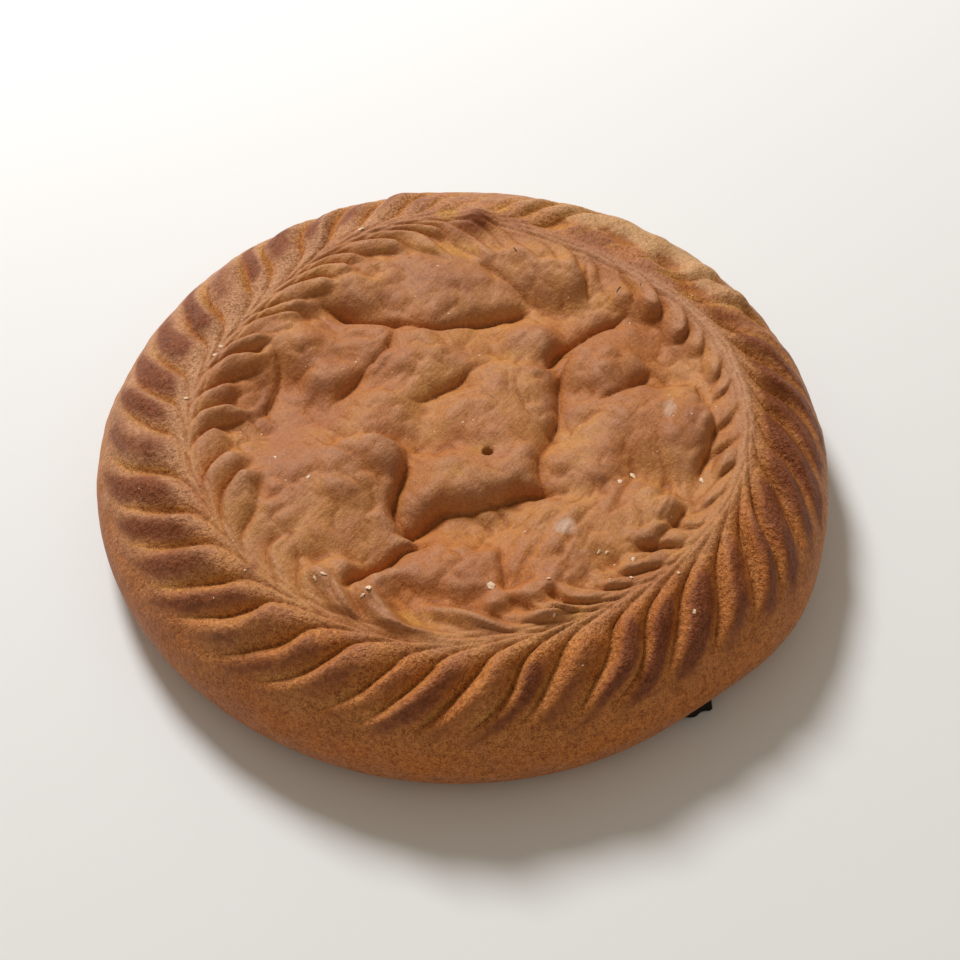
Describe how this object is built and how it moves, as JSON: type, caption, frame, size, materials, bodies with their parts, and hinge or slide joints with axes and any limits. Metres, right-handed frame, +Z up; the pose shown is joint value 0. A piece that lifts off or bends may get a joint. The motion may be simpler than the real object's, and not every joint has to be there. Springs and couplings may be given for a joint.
{
  "type": "chicken pie",
  "caption": "Round golden-brown savoury pie, uncut, with a lumpy lid inside a herringbone-crimped seam and a rounded side; it stands on its flat underside.",
  "frame": {"origin": "middle of the flat underside, on the surface that the pie rests on, under the centre of its bounding box", "axes": "+Z up through the lid; -Y towards the front, where the picture was taken from; +X to the right in the picture"},
  "size_m": [0.2598, 0.2608, 0.0483],
  "materials": {
    "crust": "baked yeast-dough crust: golden brown with a soft satin sheen, darker and grainy on the crests of the pleats, paler and yellower at the back right"
  },
  "bodies": {
    "root": {"pie": "crust"}
  },
  "joints": []
}
